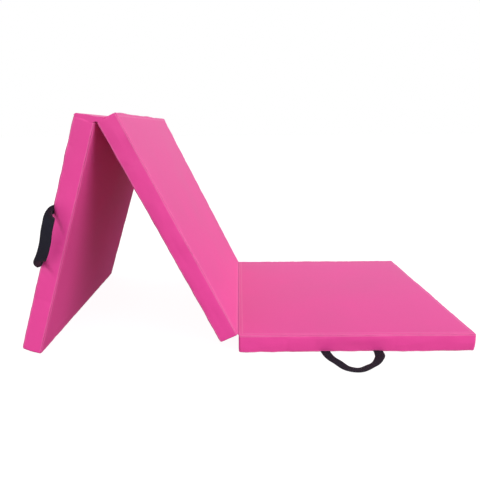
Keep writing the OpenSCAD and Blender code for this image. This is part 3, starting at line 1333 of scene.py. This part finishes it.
def prism(shape, outline, low, high, axis=1):
    """Adds a closed prism: an outline in mm, raised along an axis."""
    rings = []
    for height in (low, high):
        ring = []
        for point in outline:
            place = list(point)
            place.insert(axis, height)
            ring.append(shape.verts.new([c * MM for c in place]))
        rings.append(ring)
    shape.faces.new(rings[0])
    shape.faces.new(rings[1][::-1])
    for i in range(len(outline)):
        j = (i + 1) % len(outline)
        shape.faces.new([rings[0][i], rings[0][j], rings[1][j], rings[1][i]])


def box_outline(left, right, near, far):
    """A rectangle's outline in mm."""
    return [(left, near), (right, near), (right, far), (left, far)]


def drilled_tab(shape, left, right, half, hole_x, radius, low, high):
    """Adds a flat tab with a round hole near its end."""
    corners = [math.atan2(z, x - hole_x) for x in (left, right) for z in (-half, half)]
    angles = sorted(corners + [math.radians(d) + 0.01 for d in range(-180, 180, 12)])

    def ring(height, cut):
        made = []
        for angle in angles:
            c, d = math.cos(angle), math.sin(angle)
            to_end = ((right if c > 0 else left) - hole_x) / c
            reach = radius if cut else min(to_end, half / abs(d))
            place = (hole_x + reach * c, height, reach * d)
            made.append(shape.verts.new([v * MM for v in place]))
        return made

    inner_low, outer_low = ring(low, True), ring(low, False)
    inner_high, outer_high = ring(high, True), ring(high, False)
    round_trip = [inner_low, outer_low, outer_high, inner_high, inner_low]
    for first, second in zip(round_trip, round_trip[1:]):
        for i in range(len(angles)):
            j = (i + 1) % len(angles)
            shape.faces.new([first[i], first[j], second[j], second[i]])


def metal_object(name, shape, bevel):
    """A bevelled metal object from a finished shape."""
    bmesh.ops.recalc_face_normals(shape, faces=shape.faces)
    sharp = [e for e in shape.edges if e.is_manifold and e.calc_face_angle() > 0.5]
    bmesh.ops.bevel(
        shape, geom=sharp, offset=bevel * MM, segments=2, affect="EDGES", clamp_overlap=True
    )
    mesh = bpy.data.meshes.new(name)
    shape.to_mesh(mesh)
    shape.free()
    mesh.materials.append(finishes()["metal"])
    return in_scene(name, mesh)


def slider_shape():
    """The slider: two shaped plates, their flanges, the post and the bridge for the pull."""
    shape = bmesh.new()
    plate = [(-6, -3.4), (-3.4, -4.6), (4, -4.6), (6, -3.5)]
    plate += [(6, 3.5), (4, 4.6), (-3.4, 4.6), (-6, 3.4)]
    prism(shape, plate, 1.2, 2.4)
    prism(shape, plate, -3.4, -2.2)
    prism(shape, box_outline(-2, 2, -0.3, 0.3), -2.3, 1.3)
    for side in (-1, 1):
        near, far = sorted((side * 3.6, side * 4.6))
        prism(shape, box_outline(-3.6, 4, near, far), -0.4, 1.4)
        prism(shape, box_outline(side * 3 - 0.6, side * 3 + 0.6, -1, 1), 2.3, 5.0)
    arch = [(-3.6, 4.4), (3.6, 4.4), (3.6, 4.9), (2.8, 5.5), (-2.8, 5.5), (-3.6, 4.9)]
    prism(shape, arch, -1, 1, axis=2)
    return shape


def pull_shape():
    """The pull: a pin, two arms and a drilled tab with two grip ribs."""
    shape = bmesh.new()
    turns = [k * math.pi / 6 for k in range(12)]
    pin = [(0.55 * math.cos(t), 0.55 * math.sin(t)) for t in turns]
    prism(shape, pin, -2.6, 2.6, axis=2)
    for side in (-1, 1):
        near, far = sorted((side * 1.6, side * 2.6))
        prism(shape, box_outline(-8.2, 0.6, near, far), -0.6, 0.6)
    drilled_tab(shape, -26, -8, 3.2, -22.8, 1.5, -0.6, 0.6)
    for x in (-18.5, -16.5, -14.5):
        prism(shape, box_outline(x - 0.3, x + 0.3, -2.2, 2.2), -0.75, 0.75)
    return shape


def make_slider(panel):
    """A zip's slider and its pull, at the closed end of the coil."""
    low, high = zip_box("slider")
    turn = Matrix.Rotation(math.pi if panel == "middle" else 0.0, 4, "Y")
    place = zip_frame(panel) @ turn @ Matrix.Translation(((low.x + high.x) / 2, 0, 0))
    slider = metal_object(panel + "_slider_body", slider_shape(), 0.22)
    put(slider, place)
    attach(slider, panel + "_slider")
    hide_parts(panel + "_zip_slider")
    pull = metal_object(panel + "_pull_tab", pull_shape(), 0.18)
    put(pull, place @ Matrix.Translation((0, 0.0034, 0)))
    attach(pull, panel + "_pull")
    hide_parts(panel + "_zip_pull")


def make_stops(panel):
    """The two clamps that end a zip's coil."""
    low, high = zip_box("end_stops")
    shape = bmesh.new()
    reach, wide = high.x / MM, high.z / MM
    half = 0.46 * wide
    for side in (-1, 1):
        for z in (0.5 * wide, -0.5 * wide):
            ends = sorted((side * reach, side * (reach - 4)))
            outline = box_outline(*ends, z - half, z + half)
            prism(shape, outline, low.y / MM, high.y / MM - 0.1)
        ends = sorted((side * (reach - 0.6), side * (reach - 3.4)))
        prism(shape, box_outline(*ends, -0.8, 0.8), low.y / MM + 0.2, high.y / MM - 0.4)
    stops = metal_object(panel + "_stops", shape, 0.3)
    put(stops, zip_frame(panel))
    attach(stops, panel)
    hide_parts(panel + "_zip_end_stops")


class MAT_OT_zips(bpy.types.Operator):
    """Make the three zips"""

    bl_idname = "mat.zips"
    bl_label = "Zips"

    def execute(self, context):
        for panel in PANELS:
            for name in ("upper", "lower"):
                make_tape(panel, name)
            make_coil(panel)
            make_stops(panel)
            make_slider(panel)
        return {"FINISHED"}


# ---- the stage ----


class MAT_OT_stage(bpy.types.Operator):
    """Make the camera, the floor and the lights"""

    bl_idname = "mat.stage"
    bl_label = "Stage"

    def execute(self, context):
        scene = context.scene
        scene.view_settings.view_transform = "Standard"
        make_camera(scene)
        make_floor()
        make_lights(scene)
        return {"FINISHED"}


# The camera: its eye, its dip below level, its roll and its lens in mm
EYE = (-0.299, -1.261, 0.559)
DIP = math.radians(15.03)
ROLL = math.radians(0.39)
LENS = 31.03


def make_camera(scene):
    """The camera, in front of the panels' long side."""
    data = bpy.data.cameras.new("camera")
    data.sensor_width = 36.0
    data.lens = LENS
    camera = in_scene("camera", data)
    turn = Matrix.Rotation(math.pi / 2 - DIP, 4, "X") @ Matrix.Rotation(-ROLL, 4, "Z")
    camera.matrix_world = Matrix.Translation(EYE) @ turn
    scene.camera = camera


def make_floor():
    """A wide pale floor that takes a faint shadow and throws no colour back."""
    reach = 30.0
    s = Shader("floor")
    s.finish(
        Base_Color=(0.22, 0.2, 0.2, 1),
        Roughness=1.0,
        Specular_IOR_Level=0.0,
        Emission_Color=(1, 1, 1, 1),
        Emission_Strength=0.93,
    )
    corners = [(-reach, -reach, 0), (reach, -reach, 0), (reach, reach, 0), (-reach, reach, 0)]
    floor = new_object("floor", corners, [(0, 1, 2, 3)], s.material)
    put(floor, Matrix.Translation((0, 0, -0.0004)))
    floor.visible_diffuse = False
    floor.visible_glossy = False


def sky(scene, above, below, below_tint, card):
    """Even light from above, less from below, white behind the object, and a white card in
    front that only shows in reflections."""
    world = bpy.data.worlds.new("studio")
    world.use_nodes = True
    s = Tree(world.node_tree)
    where = s.node("ShaderNodeTexCoord", output="Generated")
    up = s.node("ShaderNodeSeparateXYZ", {0: where}, "Z")
    ahead = s.node("ShaderNodeSeparateXYZ", {0: where}, "Y")
    shown = s.node("ShaderNodeLightPath", output="Is Camera Ray")
    glossy = s.node("ShaderNodeLightPath", output="Is Glossy Ray")
    front = s.math("MULTIPLY", s.remap(ahead, 0.0, -0.6, 0.0, 1.0), glossy)
    level = s.remap(up, -0.25, 0.25, below, above)
    level = s.node("ShaderNodeMix", {"Factor": front, "A": level, "B": card})
    level = s.node("ShaderNodeMix", {"Factor": shown, "A": level, "B": 1.0})
    white = (1, 1, 1, 1)
    tint = s.mix(s.remap(up, -0.3, 0.1, 0, 1), (*below_tint, 1), white)
    tint = s.mix(s.math("MAXIMUM", shown, front), tint, white)
    background = world.node_tree.nodes["Background"]
    s.feed(background.inputs["Strength"], level)
    s.feed(background.inputs["Color"], tint)
    scene.world = world


def soft_light(name, azimuth, elevation, spread, power):
    """A distant soft light. Azimuth 0 is in front of the object, 90 to its right."""
    data = bpy.data.lights.new(name, "SUN")
    data.energy = power
    data.angle = math.radians(spread)
    a, e = math.radians(azimuth), math.radians(elevation)
    away = Vector((math.sin(a) * math.cos(e), -math.cos(a) * math.cos(e), math.sin(e)))
    light = in_scene(name, data)
    light.rotation_euler = away.to_track_quat("Z", "Y").to_euler()


def make_lights(scene):
    """A low key from the right, a fill from the front left and an even sky."""
    sky(scene, above=0.78, below=0.22, below_tint=(1.0, 0.42, 0.62), card=1.5)
    soft_light("key", 60, 18, 35, 1.5)
    soft_light("fill", -12, 20, 40, 0.57)


# ---- the sidebar ----

OPERATORS = (MAT_OT_stage, MAT_OT_covers, MAT_OT_hinges, MAT_OT_handles, MAT_OT_zips)


class MAT_PT_sidebar(bpy.types.Panel):
    """The mat's settings and its makers"""

    bl_idname = "MAT_PT_sidebar"
    bl_label = "Gym Mat"
    bl_space_type = "VIEW_3D"
    bl_region_type = "UI"
    bl_category = "Gym Mat"

    def draw(self, context):
        for group in ("mat_cover", "mat_handles", "mat_zips", "mat_colours"):
            settings = getattr(context.scene, group)
            box = self.layout.box()
            for name in settings.bl_rna.properties.keys():
                if name not in ("rna_type", "name"):
                    box.prop(settings, name)
        for operator in OPERATORS:
            self.layout.operator(operator.bl_idname)


GROUPS = {
    "mat_cover": MatCoverSettings,
    "mat_handles": MatHandleSettings,
    "mat_zips": MatZipSettings,
    "mat_colours": MatColourSettings,
}


def register():
    for name, group in GROUPS.items():
        bpy.utils.register_class(group)
        setattr(bpy.types.Scene, name, PointerProperty(type=group))
    for made in (*OPERATORS, MAT_PT_sidebar):
        bpy.utils.register_class(made)


def unregister():
    for made in (MAT_PT_sidebar, *reversed(OPERATORS)):
        bpy.utils.unregister_class(made)
    for name, group in GROUPS.items():
        delattr(bpy.types.Scene, name)
        bpy.utils.unregister_class(group)


def main():
    register()
    bpy.ops.mat.stage()
    bpy.ops.mat.covers()
    bpy.ops.mat.hinges()
    bpy.ops.mat.handles()
    bpy.ops.mat.zips()


if __name__ == "__main__":
    main()
